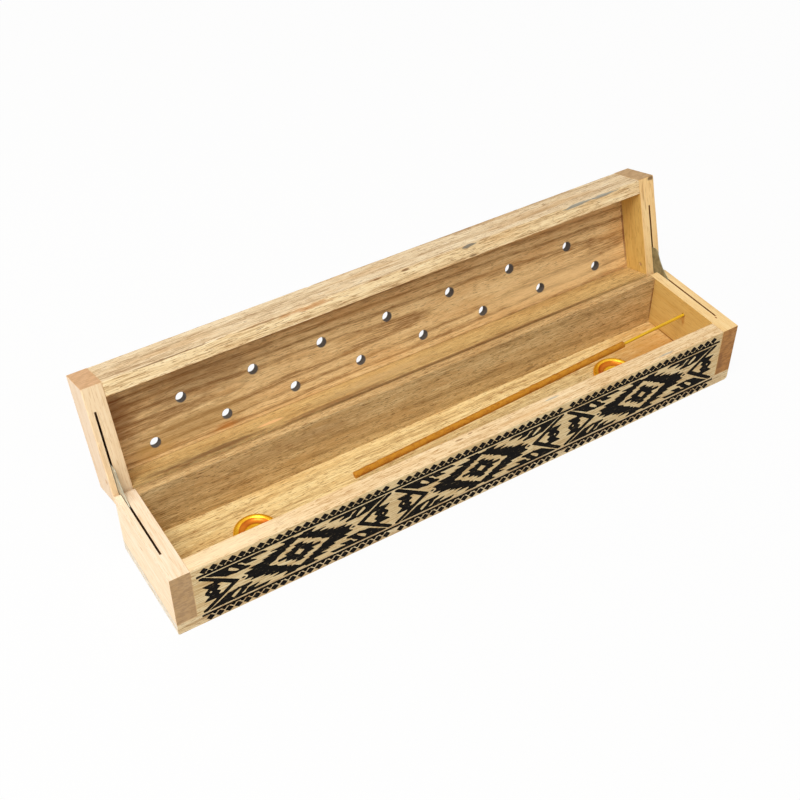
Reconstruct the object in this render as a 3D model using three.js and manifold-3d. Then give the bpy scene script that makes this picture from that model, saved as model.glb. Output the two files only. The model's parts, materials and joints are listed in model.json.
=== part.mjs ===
// Incense burner box: a long wooden tray with a hinged lid, standing open with one incense stick in it.
// Millimetres, +Z up. X runs along the box and the front is at -Y.
// The origin is at the centre of the tray's underside.
import * as THREE from 'three';
import * as BufferGeometryUtils from 'three/addons/utils/BufferGeometryUtils.js';
import Module from 'manifold-3d';

const wasm = await Module();
wasm.setup();

// Boards of the tray and the lid
const boxLength = 305;
const boxDepth = 56;
const trayHeight = 34.5;
const lidHeight = 19.5;
const endThickness = 9.3;
const trayFrontThickness = 8;
const trayBackThickness = 5;
const floorThickness = 6.4;
const lidFrontThickness = 7;
const lidBackThickness = 5;
const lidPanelThickness = 4;
const glueLine = 0.2;

// Hinge: sheet-metal plates fixed in the lid's kerfs, turning on pins in the tray's end boards
const openAngle = 107.3;
const rimGap = 0.3; // between the two rims when the lid is shut
const pivotInset = 2.2; // pin axis in from the back face
const pivotDrop = 3; // pin axis below the tray's rim
const bladeRadius = 80; // the saw blade that cut the kerfs, centred on the back face
const kerfDepth = 11.5; // at the back face
const kerfInsetLeft = 3.2; // middle of the left kerfs in from the end face
const kerfInsetRight = 4.1;
const kerfDeepening = 2; // the tray's right kerf and the lid's left one go deeper, and so further forward
const plateThickness = 0.5;
const plateSideGap = 0.25;
const plateReach = 18.2; // how far the plate runs forward along the lid's rim
const plateTopClearance = 2.9; // plate to the bottom of the lid's kerf, at the back face
const heelClearance = 0.8; // plate to the bottom of the tray's kerf, lid shut
const eyeRadius = 1.5; // metal round the pin
const heelRadius = 1.2;
const plateCornerRadius = 4;
const shoulderDrop = 4.2; // the plate's shoulder below the lid's rim
const shoulderRadius = 2.8;
const kneeInset = 9; // where the plate's free edge bends, in from the lid's back face
const kneeDrop = 5.4;

// Wire pins and brads
const pinRadius = 0.6;
const pinGap = 0.3;
const blindWall = 1; // wood left outside a hidden pin
const lidPinInset = 3.2; // from the back face
const lidPinRise = 5.8; // above the lid's rim
const bradInset = 9.7;
const bradRise = 4.3;
const bradHeadRadius = 0.95;
const bradHeadHeight = 0.5;

// Smoke vents: two staggered rows through the lid's panel
const ventRadius = 2.5;
const ventPitchBack = 35.3;
const ventPitchFront = 35.7;
const ventRowBack = 12.8; // rows measured from the lid's back face
const ventRowFront = 29;
const ventShift = -0.9; // both rows drilled a little to the left of the middle
const ventEndMargin = 16;

// Cone dishes and their tacks
const dishEndInset = 42.2; // dish centre from the end board's inner face
const dishRadius = 10.4;
const dishHeight = 3;
const dishFloorRadius = 6.8;
const dishMetal = 0.8;
const dishBeadHeight = 0.9;
const dishStepHeight = 0.25;
const tackHeadRadius = 1.4;
const tackHeadHeight = 0.6;
const tackShankRadius = 0.45;
const tackLength = 4.6;
const tackGap = 0.3;
const tackHoleDepth = tackLength - dishMetal + tackGap; // in the floor board

// Incense stick, its bare end in a small hole in the right end board
const stickTilt = 3.2;
const stickHoleDrop = 8.2; // hole below the tray's rim
const stickSeat = 4; // length of core inside the hole
const coreRadius = 0.8;
const coreGap = 0.3;
const bareLength = 38.5; // core showing between the end board and the paste
const coatLength = 155.5;
const coatRadius = 1.7;
const coatTipRadius = 1.4;
const coatCap = 1.5; // paste beyond the core's end
const coatBoreGap = 0.2;

const halfLength = boxLength / 2;
const halfDepth = boxDepth / 2;
const innerHalfLength = halfLength - endThickness;
const pivotY = halfDepth - pivotInset;
const pivotZ = trayHeight - pivotDrop;
const sides = { left: -1, right: 1 };
const kerfInsets = { left: kerfInsetLeft, right: kerfInsetRight };
const radians = THREE.MathUtils.degToRad;

// Solids

// A closed mesh, its shared vertices merged, as a solid that can be cut
function solidOf(geometry) {
  const bare = geometry.clone();
  bare.deleteAttribute('normal');
  bare.deleteAttribute('uv');
  const merged = BufferGeometryUtils.mergeVertices(bare, 1e-4);
  const vertProperties = new Float32Array(merged.attributes.position.array);
  const triVerts = new Uint32Array(merged.index.array);
  return new wasm.Manifold(new wasm.Mesh({ numProp: 3, vertProperties, triVerts }));
}

function geometryOf(solid) {
  const mesh = solid.getMesh();
  const geometry = new THREE.BufferGeometry();
  geometry.setAttribute('position', new THREE.BufferAttribute(new Float32Array(mesh.vertProperties), 3));
  geometry.setIndex(new THREE.BufferAttribute(new Uint32Array(mesh.triVerts), 1));
  geometry.computeVertexNormals();
  return geometry;
}

function carve(geometry, cutters) {
  let solid = solidOf(geometry);
  for (const cutter of cutters) solid = solid.subtract(solidOf(cutter));
  return geometryOf(solid);
}

function finish(color, roughness, metalness = 0) {
  return new THREE.MeshStandardMaterial({ color, roughness, metalness });
}

function part(name, geometry, material, position = [0, 0, 0]) {
  const mesh = new THREE.Mesh(geometry, material);
  mesh.name = name;
  mesh.position.set(...position);
  return mesh;
}

// A board between two corners, less its cutters, all given in the coordinates of its group
function board(name, low, high, material, cutters = []) {
  const centre = low.map((value, axis) => (value + high[axis]) / 2);
  const box = new THREE.BoxGeometry(...low.map((value, axis) => high[axis] - value));
  const moved = cutters.map((cutter) => cutter.clone().translate(-centre[0], -centre[1], -centre[2]));
  return part(name, cutters.length ? carve(box, moved) : box, material, centre);
}

// A round bar along X from one x to another
function barAlongX(radius, fromX, toX, y, z, segments = 20) {
  const bar = new THREE.CylinderGeometry(radius, radius, Math.abs(toX - fromX), segments);
  return bar.rotateZ(Math.PI / 2).translate((fromX + toX) / 2, y, z);
}

// A turned solid about +Z from [radius, height] points, listed from the bottom, outside first
function turned(profile, segments) {
  const points = profile.map(([radius, height]) => new THREE.Vector2(radius, height));
  return new THREE.LatheGeometry(points, segments).rotateX(Math.PI / 2);
}

// A slot of the saw blade, whose rim reaches the given depth past the board's rim at the back face.
// direction is +1 where the wood lies below the rim and -1 where it lies above
function kerfCutter(word, backY, rimZ, direction, depth) {
  const width = plateThickness + 2 * plateSideGap;
  const middle = sides[word] * (halfLength - kerfInsets[word]);
  const bladeZ = rimZ + direction * (bladeRadius - depth);
  return barAlongX(bladeRadius, middle - width / 2, middle + width / 2, backY, bladeZ, 128);
}

// A hole for a hidden pin: open at the end board's inner face, blind short of its outer face
function blindHole(side, y, z) {
  const fromX = side * (innerHalfLength - 1);
  return barAlongX(pinRadius + pinGap, fromX, side * (halfLength - blindWall), y, z);
}

function hiddenPin(name, side, y, z) {
  const length = endThickness - blindWall - 2 * pinGap;
  const middle = side * (innerHalfLength + pinGap + length / 2);
  const pin = barAlongX(pinRadius, -length / 2, length / 2, 0, 0);
  return part(name, pin, finish(0x8f8d84, 0.4, 0.9), [middle, y, z]);
}

// Tray

// What the tray's back edge loses so that the lid's rim clears it: the corner outside an arc about the pins
function backEdgeCutter() {
  const over = 1;
  const length = boxLength + 2 * over;
  const corner = new THREE.BoxGeometry(length, pivotInset + over, pivotDrop + over);
  corner.translate(0, pivotY + (pivotInset + over) / 2, pivotZ + (pivotDrop + over) / 2);
  const arc = barAlongX(pivotDrop, -halfLength - 2 * over, halfLength + 2 * over, pivotY, pivotZ, 96);
  return carve(corner, [arc]);
}

// The line of the incense stick, from the hole's mouth in the end board's inner face, +X into the board
function placeOnStick(object) {
  object.position.set(innerHalfLength, 0, trayHeight - stickHoleDrop);
  object.rotation.y = -radians(stickTilt);
  return object;
}

function stickHoleCutter() {
  const depth = stickSeat + coreGap;
  const hole = barAlongX(coreRadius + coreGap, -2, depth, 0, 0);
  const place = placeOnStick(new THREE.Object3D());
  place.updateMatrix();
  return hole.applyMatrix4(place.matrix);
}

function makeTray() {
  const tray = new THREE.Group();
  const backEdge = backEdgeCutter();
  const wallBottom = floorThickness + glueLine;
  const wallHalfLength = innerHalfLength - glueLine;
  const tackHoles = Object.values(sides).map((side) => {
    const radius = tackShankRadius + tackGap;
    const hole = new THREE.CylinderGeometry(radius, radius, 2 * tackHoleDepth, 20);
    return hole.rotateX(Math.PI / 2).translate(side * (innerHalfLength - dishEndInset), 0, floorThickness);
  });
  tray.add(board('tray_floor', [-halfLength, -halfDepth, 0], [halfLength, halfDepth, floorThickness],
    finish(0xdcb27a, 0.62), tackHoles));
  tray.add(board('tray_front', [-wallHalfLength, -halfDepth, wallBottom],
    [wallHalfLength, -halfDepth + trayFrontThickness, trayHeight], finish(0xe6c596, 0.6)));
  tray.add(board('tray_back', [-wallHalfLength, halfDepth - trayBackThickness, wallBottom],
    [wallHalfLength, halfDepth, trayHeight], finish(0xc09358, 0.62), [backEdge]));
  for (const [word, side] of Object.entries(sides)) {
    const nearX = side * innerHalfLength;
    const farX = side * halfLength;
    const depth = kerfDepth + (word === 'right' ? kerfDeepening : 0);
    const kerf = kerfCutter(word, halfDepth, trayHeight, 1, depth);
    const cutters = [backEdge, kerf, blindHole(side, pivotY, pivotZ)];
    if (word === 'right') cutters.push(stickHoleCutter());
    tray.add(board(`tray_end_${word}`, [Math.min(nearX, farX), -halfDepth, wallBottom],
      [Math.max(nearX, farX), halfDepth, trayHeight], finish(0xcfa377, 0.66), cutters));
    tray.add(hiddenPin(`pivot_pin_${word}`, side, pivotY, pivotZ));
  }
  return tray;
}

// Cone dishes: a flat floor with a low step round it, a sloping wall and a rolled rim
function makeDish(word, side) {
  const group = new THREE.Group();
  const holeRadius = tackShankRadius + tackGap;
  const wallTop = dishHeight - dishBeadHeight;
  const beadInner = dishRadius - 1.35 * dishBeadHeight;
  const profile = [
    [holeRadius, 0],
    [dishFloorRadius, 0],
    [dishRadius - dishBeadHeight / 2, wallTop],
    [dishRadius, wallTop + dishBeadHeight * 0.35],
    [dishRadius, wallTop + dishBeadHeight * 0.7],
    [dishRadius - dishBeadHeight * 0.4, dishHeight],
    [beadInner + dishBeadHeight * 0.3, dishHeight],
    [beadInner, dishHeight - dishBeadHeight * 0.3],
    [dishFloorRadius + dishMetal, dishMetal + dishStepHeight],
    [dishFloorRadius, dishMetal],
    [dishFloorRadius - dishMetal, dishMetal + dishStepHeight],
    [dishFloorRadius - 2 * dishMetal, dishMetal],
    [holeRadius, dishMetal],
    [holeRadius, 0],
  ];
  const dishFinish = finish(0xe8a21c, 0.3, 0.85);
  group.add(part(`dish_${word}`, turned(profile, 56), dishFinish));
  const tack = turned([
    [0, dishMetal - tackLength],
    [tackShankRadius, dishMetal - tackLength + 2 * tackShankRadius],
    [tackShankRadius, dishMetal],
    [tackHeadRadius, dishMetal],
    [tackHeadRadius * 0.8, dishMetal + tackHeadHeight * 0.7],
    [0, dishMetal + tackHeadHeight],
  ], 16);
  group.add(part(`dish_tack_${word}`, tack, finish(0xc9962e, 0.35, 0.85)));
  group.position.set(side * (innerHalfLength - dishEndInset), 0, floorThickness);
  return group;
}

// Incense: a bamboo core with paste rolled on most of its length
function makeStick() {
  const stick = placeOnStick(new THREE.Group());
  const coatEnd = bareLength + coatLength;
  const core = barAlongX(coreRadius, -(coatEnd - coatCap), stickSeat, 0, 0, 16);
  stick.add(part('stick_core', core, finish(0xe0b021, 0.6)));
  const boreRadius = coreRadius + coatBoreGap;
  const coat = turned([
    [0, 0],
    [coatTipRadius, 0],
    [coatRadius, coatRadius - coatTipRadius],
    [coatRadius, coatLength - 1],
    [coatTipRadius, coatLength],
    [boreRadius, coatLength],
    [boreRadius, coatCap - coatBoreGap],
    [0, coatCap - coatBoreGap],
  ], 20);
  stick.add(part('stick_coating', coat.rotateY(Math.PI / 2), finish(0xb9772a, 0.85), [-coatEnd, 0, 0]));
  return stick;
}

// Lid, in coordinates with y = 0 at its back face, -Y towards its front, and z = 0 at its rim

// Outline of a hinge plate, seen along X: across is y, up is z
function plateOutline() {
  const plateRise = kerfDepth - plateTopClearance;
  const heelDrop = kerfDepth - heelClearance + rimGap;
  const backEdge = -(pivotInset - eyeRadius);
  const heel = new THREE.Vector2(backEdge - heelRadius, -heelDrop + heelRadius);
  const heelTurn = heelRadius * Math.SQRT1_2;
  const heelCorner = new THREE.Vector2(heel.x - heelTurn, heel.y - heelTurn);
  const shoulderEnd = 1.42 * Math.PI;
  const shoulder = new THREE.Vector2(shoulderRadius - plateReach,
    -shoulderDrop - shoulderRadius * Math.sin(shoulderEnd));
  const round = plateCornerRadius;
  const shape = new THREE.Shape();
  shape.moveTo(backEdge, plateRise - round);
  shape.absarc(backEdge - round, plateRise - round, round, 0, Math.PI / 2);
  shape.absarc(round - plateReach, plateRise - round, round, Math.PI / 2, Math.PI);
  shape.absarc(shoulder.x, shoulder.y, shoulderRadius, Math.PI, shoulderEnd);
  shape.quadraticCurveTo(-kneeInset, -kneeDrop, heelCorner.x, heelCorner.y);
  shape.absarc(heel.x, heel.y, heelRadius, 1.25 * Math.PI, 2 * Math.PI);
  shape.closePath();
  const holes = [[pivotInset, -(pivotDrop + rimGap)], [lidPinInset, lidPinRise], [bradInset, bradRise]];
  for (const [inset, rise] of holes) {
    const hole = new THREE.Path();
    hole.absarc(-inset, rise, pinRadius + pinGap, 0, 2 * Math.PI);
    shape.holes.push(hole);
  }
  return shape;
}

function makePlate(word, side) {
  const settings = { depth: plateThickness, bevelEnabled: false, curveSegments: 10 };
  const plate = new THREE.ExtrudeGeometry(plateOutline(), settings);
  plate.translate(0, 0, -plateThickness / 2);
  const across = new THREE.Vector3(0, 1, 0);
  const up = new THREE.Vector3(0, 0, 1);
  const through = new THREE.Vector3(1, 0, 0);
  plate.applyMatrix4(new THREE.Matrix4().makeBasis(across, up, through));
  const kerfMiddle = side * (halfLength - kerfInsets[word]);
  return part(`hinge_plate_${word}`, plate, finish(0x9c9884, 0.5, 0.8), [kerfMiddle, 0, 0]);
}

// A brad driven from the end face right through the board, its head flush
function bradProfile(extra) {
  const shank = pinRadius + extra;
  const head = bradHeadRadius + extra;
  const length = endThickness + (extra > 0 ? 1 : 0);
  const under = length - bradHeadHeight - extra;
  return [[0, 0], [shank, 0], [shank, under], [head, under], [head, length], [0, length]];
}

function bradAlongX(side, extra) {
  const brad = turned(bradProfile(extra), 20).rotateY((side * Math.PI) / 2);
  const innerX = innerHalfLength - (extra > 0 ? 1 : 0);
  return brad.translate(side * innerX, 0, 0);
}

function ventCutters() {
  const panelLength = 2 * (innerHalfLength - glueLine);
  const backCount = Math.floor((panelLength - 2 * ventEndMargin) / ventPitchBack) + 1;
  const rows = [[backCount, ventRowBack, ventPitchBack], [backCount - 1, ventRowFront, ventPitchFront]];
  const cutters = [];
  for (const [count, fromBack, pitch] of rows) {
    for (let index = 0; index < count; index += 1) {
      const x = ventShift + (index - (count - 1) / 2) * pitch;
      const vent = new THREE.CylinderGeometry(ventRadius, ventRadius, lidPanelThickness + 2, 28);
      cutters.push(vent.rotateX(Math.PI / 2).translate(x, -fromBack, lidHeight - lidPanelThickness / 2));
    }
  }
  return cutters;
}

function makeLid() {
  const hinge = new THREE.Group(); // on the pin axis, turned from shut to open
  hinge.position.set(0, pivotY, pivotZ);
  hinge.rotation.x = -radians(openAngle);
  const lid = new THREE.Group();
  lid.position.set(0, pivotInset, pivotDrop + rimGap);
  hinge.add(lid);
  const wallHalfLength = innerHalfLength - glueLine;
  lid.add(board('lid_front', [-wallHalfLength, -boxDepth, 0],
    [wallHalfLength, -boxDepth + lidFrontThickness, lidHeight], finish(0xdcb883, 0.6)));
  lid.add(board('lid_back', [-wallHalfLength, -lidBackThickness, 0],
    [wallHalfLength, 0, lidHeight], finish(0xd0a468, 0.62)));
  const panelFront = -boxDepth + lidFrontThickness + glueLine;
  lid.add(board('lid_panel', [-wallHalfLength, panelFront, lidHeight - lidPanelThickness],
    [wallHalfLength, -lidBackThickness - glueLine, lidHeight], finish(0xa87b45, 0.62), ventCutters()));
  for (const [word, side] of Object.entries(sides)) {
    const nearX = side * innerHalfLength;
    const farX = side * halfLength;
    const bradHole = bradAlongX(side, pinGap).translate(0, -bradInset, bradRise);
    const kerf = kerfCutter(word, 0, 0, -1, kerfDepth + (word === 'left' ? kerfDeepening : 0));
    const cutters = [kerf, blindHole(side, -lidPinInset, lidPinRise), bradHole];
    lid.add(board(`lid_end_${word}`, [Math.min(nearX, farX), -boxDepth, 0],
      [Math.max(nearX, farX), 0, lidHeight], finish(0xd9b182, 0.66), cutters));
    lid.add(makePlate(word, side));
    lid.add(hiddenPin(`lid_pin_${word}`, side, -lidPinInset, lidPinRise));
    const bradFinish = finish(0x7d7a70, 0.45, 0.85);
    lid.add(part(`lid_brad_${word}`, bradAlongX(side, 0), bradFinish, [0, -bradInset, bradRise]));
  }
  return hinge;
}

// The whole box

const incenseBox = new THREE.Group();
incenseBox.add(makeTray());
for (const [word, side] of Object.entries(sides)) incenseBox.add(makeDish(word, side));
incenseBox.add(makeStick());
incenseBox.add(makeLid());

export default incenseBox;
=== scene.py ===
import json
import math
import random

import bmesh
import bpy
from mathutils import Matrix, Vector, noise


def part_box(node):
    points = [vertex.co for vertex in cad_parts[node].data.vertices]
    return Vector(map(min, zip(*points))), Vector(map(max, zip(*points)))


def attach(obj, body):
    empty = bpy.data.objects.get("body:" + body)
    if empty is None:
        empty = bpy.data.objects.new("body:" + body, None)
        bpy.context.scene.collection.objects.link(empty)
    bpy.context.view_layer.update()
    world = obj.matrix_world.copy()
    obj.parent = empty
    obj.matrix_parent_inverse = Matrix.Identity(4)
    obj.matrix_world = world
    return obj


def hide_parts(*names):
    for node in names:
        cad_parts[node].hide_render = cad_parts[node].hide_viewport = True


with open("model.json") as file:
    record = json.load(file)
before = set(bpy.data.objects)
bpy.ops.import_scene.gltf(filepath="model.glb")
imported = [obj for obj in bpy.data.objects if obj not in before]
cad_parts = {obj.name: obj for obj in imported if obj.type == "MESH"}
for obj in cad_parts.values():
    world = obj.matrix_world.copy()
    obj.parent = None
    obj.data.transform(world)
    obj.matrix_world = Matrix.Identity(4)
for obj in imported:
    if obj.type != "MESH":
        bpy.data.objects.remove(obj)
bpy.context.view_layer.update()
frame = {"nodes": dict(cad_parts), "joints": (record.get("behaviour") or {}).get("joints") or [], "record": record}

mm = 0.001
lidJoint = frame["joints"][0]
pivot = Vector(lidJoint["pos_m"])
openAngle = math.radians(lidJoint["range_deg"][1])
closedToOpen = Matrix.Translation(pivot) @ Matrix.Rotation(-openAngle, 4, "X") @ Matrix.Translation(-pivot)
openToClosed = closedToOpen.inverted()


# View and light

photoView = {
    "place": (-0.250560, -0.360724, 0.434032),
    "look": (0.39204, 0.62967, -0.67069),
    "up": (0.35773, 0.56733, 0.74173),
    "lens": 58.17,
    "sensor": 36.0,
}

softboxes = {
    # place, aimed at, size across and high, power, colour
    "key": ((-0.58, -0.46, 1.38), (0, 0, 0.03), (0.9, 0.9), 17.0, (1.0, 0.99, 0.97)),
    "left": ((-1.35, 0.1, 0.55), (0, 0, 0.04), (0.8, 0.7), 6.4, (1.0, 0.99, 0.97)),
}

worldStrength = 0.42


def addObject(name, data):
    thing = bpy.data.objects.new(name, data)
    bpy.context.scene.collection.objects.link(thing)
    return thing


def makeCamera():
    data = bpy.data.cameras.new("photoCamera")
    data.lens = photoView["lens"]
    data.sensor_width = photoView["sensor"]
    camera = addObject("photoCamera", data)
    look = Vector(photoView["look"]).normalized()
    across = look.cross(Vector(photoView["up"])).normalized()
    up = across.cross(look)
    turn = Matrix((across, up, -look)).transposed().to_4x4()
    camera.matrix_world = Matrix.Translation(photoView["place"]) @ turn
    bpy.context.scene.camera = camera


def makeLights():
    for name, (place, target, size, power, colour) in softboxes.items():
        data = bpy.data.lights.new(name, "AREA")
        data.shape = "RECTANGLE"
        data.size, data.size_y = size
        data.energy = power
        data.color = colour
        lamp = addObject(name, data)
        aim = Vector(target) - Vector(place)
        lamp.matrix_world = Matrix.Translation(place) @ aim.to_track_quat("-Z", "Y").to_matrix().to_4x4()


# Node helpers

def addNode(tree, kind, **values):
    node = tree.nodes.new(kind)
    for name, value in values.items():
        setattr(node, name, value)
    return node


def feed(tree, socket, value):
    # value is another node's output, or a plain number, colour or vector
    if isinstance(value, bpy.types.NodeSocket):
        tree.links.new(value, socket)
    else:
        socket.default_value = value


def calc(tree, operation, first, second=0.0):
    node = addNode(tree, "ShaderNodeMath", operation=operation)
    feed(tree, node.inputs[0], first)
    feed(tree, node.inputs[1], second)
    return node.outputs[0]


def times(tree, first, second):
    return calc(tree, "MULTIPLY", first, second)


def plus(tree, first, second):
    return calc(tree, "ADD", first, second)


def minus(tree, first, second):
    return calc(tree, "SUBTRACT", first, second)


def vectorCalc(tree, operation, first, second=(0, 0, 0)):
    node = addNode(tree, "ShaderNodeVectorMath", operation=operation)
    feed(tree, node.inputs[0], first)
    feed(tree, node.inputs[1], second)
    return node.outputs["Value" if operation in ("DOT_PRODUCT", "LENGTH") else "Vector"]


def span(tree, value, low, high, toLow=0.0, toHigh=1.0, smooth=True):
    node = addNode(tree, "ShaderNodeMapRange")
    node.interpolation_type = "SMOOTHSTEP" if smooth else "LINEAR"
    for socket, given in zip(node.inputs, (value, low, high, toLow, toHigh)):
        feed(tree, socket, given)
    return node.outputs[0]


def blendColour(tree, amount, under, over, way="MIX"):
    node = addNode(tree, "ShaderNodeMix", data_type="RGBA", blend_type=way)
    feed(tree, node.inputs["Factor"], amount)
    feed(tree, node.inputs[6], under)
    feed(tree, node.inputs[7], over)
    return node.outputs[2]


def grains(tree, vector, stretch, detail=3.0, rough=0.55, output="Fac"):
    # noise with about this many features to a millimetre on each axis
    node = addNode(tree, "ShaderNodeTexNoise")
    feed(tree, node.inputs["Vector"], vectorCalc(tree, "MULTIPLY", vector, stretch))
    node.inputs["Scale"].default_value = 1.0
    node.inputs["Detail"].default_value = detail
    node.inputs["Roughness"].default_value = rough
    return node.outputs[output]


def axesOf(tree, vector):
    parts = addNode(tree, "ShaderNodeSeparateXYZ")
    tree.links.new(vector, parts.inputs[0])
    return parts.outputs


def objectMillimetres(tree, turn, move=(0, 0, 0)):
    # the piece's own coordinates in millimetres, turned and then moved, and its normal
    mapping = addNode(tree, "ShaderNodeMapping", vector_type="POINT")
    for label, value in (("Scale", (1 / mm,) * 3), ("Rotation", turn), ("Location", move)):
        mapping.inputs[label].default_value = value
    source = addNode(tree, "ShaderNodeTexCoord")
    tree.links.new(source.outputs["Object"], mapping.inputs["Vector"])
    return mapping.outputs[0], source.outputs["Normal"]


def directRays(tree):
    # 1 where the camera sees the surface itself, in a mirror or through glass
    seen = addNode(tree, "ShaderNodeLightPath").outputs
    rays = calc(tree, "MAXIMUM", seen["Is Camera Ray"], seen["Is Glossy Ray"])
    return calc(tree, "MAXIMUM", rays, seen["Is Transmission Ray"])


def startGroup(name, inputs, outputs):
    tree = bpy.data.node_groups.new(name, "ShaderNodeTree")
    kinds = {"f": "NodeSocketFloat", "v": "NodeSocketVector", "c": "NodeSocketColor"}
    for label, kind, value in inputs:
        socket = tree.interface.new_socket(name=label, in_out="INPUT", socket_type=kinds[kind])
        socket.default_value = value
    for label, kind in outputs:
        tree.interface.new_socket(name=label, in_out="OUTPUT", socket_type=kinds[kind])
    given = tree.nodes.new("NodeGroupInput").outputs
    result = tree.nodes.new("NodeGroupOutput").inputs
    return tree, given, result


def place(tree, group, **values):
    node = addNode(tree, "ShaderNodeGroup", node_tree=group)
    for label, value in values.items():
        feed(tree, node.inputs[label], value)
    return node.outputs


def startMaterial(name):
    material = bpy.data.materials.new(name)
    material.use_nodes = True
    tree = material.node_tree
    shader = next(node for node in tree.nodes if node.type == "BSDF_PRINCIPLED")
    return material, tree, shader


def dressShader(tree, shader, colour, rough, height, depth, specular=0.5, metallic=0.0):
    # depth is the relief's height in millimetres
    bump = addNode(tree, "ShaderNodeBump")
    for label, value in (("Strength", 1.0), ("Distance", depth * mm), ("Height", height)):
        feed(tree, bump.inputs[label], value)
    for label, value in (("Base Color", colour), ("Roughness", rough), ("Normal", bump.outputs[0]),
                         ("Specular IOR Level", specular), ("Metallic", metallic)):
        feed(tree, shader.inputs[label], value)


def rgb(red, green, blue):
    # a colour as picked on screen, 0 to 255, as the linear colour that a node takes
    def linear(value):
        value = value / 255
        return value / 12.92 if value <= 0.04045 else ((value + 0.055) / 1.055) ** 2.4
    return (linear(red), linear(green), linear(blue), 1.0)


# Shared effects

figureNoise = {
    # features to a millimetre along and across the grain, detail, roughness
    "drift": (0.011, 0.022, 2.0, 0.55),
    "streak": (0.032, 0.85, 5.0, 0.64),
    "fine": (0.11, 2.3, 3.0, 0.6),
    "band": (0.006, 0.11, 3.0, 0.55),
    "cloud": (0.018, 0.05, 3.0, 0.55),
    "hue": (0.014, 0.085, 4.0, 0.6),
    "dash": (0.15, 1.7, 2.0, 0.5),
    "thick": (0.02, 0.14, 2.0, 0.55),
}

# what a board sets for itself under the same word, apart from its heart and its rings' width
figureInputs = [(name, "c", (1, 1, 1, 1)) for name in ("Pale", "Middle", "Dark", "Warm")]
figureInputs += [(name, "f", 0.0) for name in (
    "Streaks", "Bands", "Rings", "Pores", "Clouds", "Warmth", "Sway", "Lean")]


def figureGrains(tree, spot, name, output="Fac"):
    along, across, detail, rough = figureNoise[name]
    return grains(tree, spot, (along, across, across), detail, rough, output)


def makeWoodFigure():
    # figure of a sawn board, in millimetres, with X along the grain
    # and the tree's heart given from the same place
    tree, given, result = startGroup("woodFigure", [
        ("Vector", "v", (0, 0, 0)), ("Heart", "v", (0, 0, 0)), ("RingWidth", "f", 3.0), *figureInputs,
    ], [("Color", "c"), ("Tone", "f"), ("Height", "f")])
    drift = figureGrains(tree, given["Vector"], "drift", "Color")
    drift = vectorCalc(tree, "SUBTRACT", drift, (0.5, 0.5, 0.5))
    push = addNode(tree, "ShaderNodeVectorMath", operation="SCALE")
    tree.links.new(drift, push.inputs[0])
    tree.links.new(given["Sway"], push.inputs["Scale"])
    spot = vectorCalc(tree, "ADD", given["Vector"], push.outputs[0])
    streak, fine, band, cloud = (figureGrains(tree, spot, name)
                                 for name in ("streak", "fine", "band", "cloud"))
    x, y, z = axesOf(tree, vectorCalc(tree, "SUBTRACT", spot, given["Heart"]))
    z = plus(tree, z, times(tree, x, given["Lean"]))
    reach = calc(tree, "SQRT", plus(tree, times(tree, y, y), times(tree, z, z)))
    jitter = times(tree, minus(tree, streak, 0.5), 0.6)
    year = calc(tree, "FRACT", plus(tree, calc(tree, "DIVIDE", reach, given["RingWidth"]), jitter))
    late = times(tree, span(tree, year, 0.35, 0.9), span(tree, year, 1.0, 0.93))
    tone = 0.5
    for source, middle, amount in ((streak, 0.5, "Streaks"), (band, 0.5, "Bands"),
                                   (late, 0.3, "Rings"), (cloud, 0.5, "Clouds"), (fine, 0.5, "Streaks")):
        swing = times(tree, minus(tree, source, middle), 3.0)
        tone = plus(tree, times(tree, swing, given[amount]), tone)
    lower = span(tree, tone, 0.05, 0.5, smooth=False)
    upper = span(tree, tone, 0.5, 1.05, smooth=False)
    colour = blendColour(tree, lower, given["Pale"], given["Middle"])
    colour = blendColour(tree, upper, colour, given["Dark"])
    warm = times(tree, span(tree, figureGrains(tree, spot, "hue"), 0.47, 0.68), given["Warmth"])
    colour = blendColour(tree, warm, colour, given["Warm"])
    edge = minus(tree, 0.66, times(tree, figureGrains(tree, spot, "thick"), 0.15))
    pore = span(tree, minus(tree, figureGrains(tree, spot, "dash"), edge), 0.0, 0.07)
    pore = times(tree, pore, given["Pores"])
    colour = blendColour(tree, pore, colour, given["Dark"])
    tree.links.new(colour, result["Color"])
    tree.links.new(tone, result["Tone"])
    rise = plus(tree, times(tree, streak, 0.35), times(tree, fine, 0.35))
    sunk = times(tree, pore, 0.5)
    tree.links.new(minus(tree, rise, sunk), result["Height"])
    return tree


def makeArrisWear():
    # mask that is 1 on the worn arrises of a block, from millimetres from its middle and its half size
    tree, given, result = startGroup("arrisWear", [
        ("Vector", "v", (0, 0, 0)), ("HalfSize", "v", (1, 1, 1)), ("Width", "f", 1.0), ("Rag", "f", 0.5),
    ], [("Mask", "f")])
    apart = vectorCalc(tree, "ABSOLUTE", given["Vector"])
    apart = vectorCalc(tree, "SUBTRACT", given["HalfSize"], apart)
    x, y, z = axesOf(tree, apart)
    low = calc(tree, "MINIMUM", x, y)
    high = calc(tree, "MAXIMUM", x, y)
    near = calc(tree, "MAXIMUM", low, calc(tree, "MINIMUM", high, z))
    rag = grains(tree, given["Vector"], (0.16, 0.4, 0.4), detail=4.0)
    rag = times(tree, minus(tree, rag, 0.45), given["Rag"])
    reach = calc(tree, "DIVIDE", near, given["Width"])
    tree.links.new(span(tree, minus(tree, reach, rag), 1.0, 0.0), result["Mask"])
    return tree


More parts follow.
